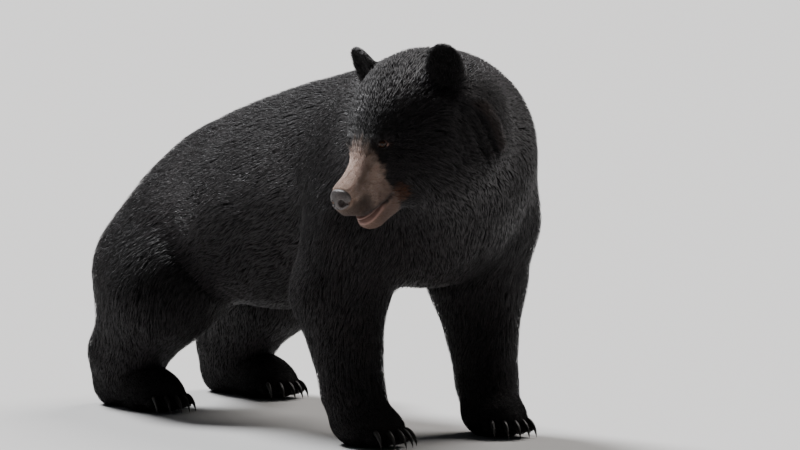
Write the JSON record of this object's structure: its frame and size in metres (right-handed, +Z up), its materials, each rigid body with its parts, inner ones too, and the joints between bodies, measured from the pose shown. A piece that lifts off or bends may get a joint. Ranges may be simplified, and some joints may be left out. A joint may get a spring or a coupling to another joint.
{
  "type": "black bear",
  "caption": "Life-size still model of an American black bear standing on four feet, with its head turned to its right.",
  "frame": {"origin": "on the floor, under the middle of the whole bear's box", "axes": "+X points forward along the trunk, from the tail to the chest; +Y to the bear's left; +Z up"},
  "size_m": [1.4818, 0.7126, 0.83],
  "materials": {
    "coat": "thick black guard hair with a soft sheen, short tan fur on the muzzle",
    "nose_pad": "moist grained dark grey-brown pad",
    "tongue": "moist pink flesh",
    "eye": "wet dark brown eyeball",
    "claw": "polished dark horn"
  },
  "bodies": {
    "root": {"ear_left": "coat", "ear_right": "coat", "nose": "nose_pad", "lower_jaw": "coat", "head": "coat", "forepaw_left": "coat", "forearm_left": "coat", "upper_arm_left": "coat", "hindpaw_left": "coat", "shin_left": "coat", "thigh_left": "coat", "forepaw_right": "coat", "forearm_right": "coat", "upper_arm_right": "coat", "hindpaw_right": "coat", "shin_right": "coat", "thigh_right": "coat", "neck": "coat", "tail": "coat", "rump": "coat", "belly": "coat", "chest": "coat", "tongue": "tongue", "eye_left": "eye", "eye_right": "eye", "forepaw_left_claw_1": "claw", "forepaw_left_claw_2": "claw", "forepaw_left_claw_3": "claw", "forepaw_left_claw_4": "claw", "forepaw_left_claw_5": "claw", "hindpaw_left_claw_1": "claw", "hindpaw_left_claw_2": "claw", "hindpaw_left_claw_3": "claw", "hindpaw_left_claw_4": "claw", "hindpaw_left_claw_5": "claw", "forepaw_right_claw_1": "claw", "forepaw_right_claw_2": "claw", "forepaw_right_claw_3": "claw", "forepaw_right_claw_4": "claw", "forepaw_right_claw_5": "claw", "hindpaw_right_claw_1": "claw", "hindpaw_right_claw_2": "claw", "hindpaw_right_claw_3": "claw", "hindpaw_right_claw_4": "claw", "hindpaw_right_claw_5": "claw"}
  },
  "joints": []
}
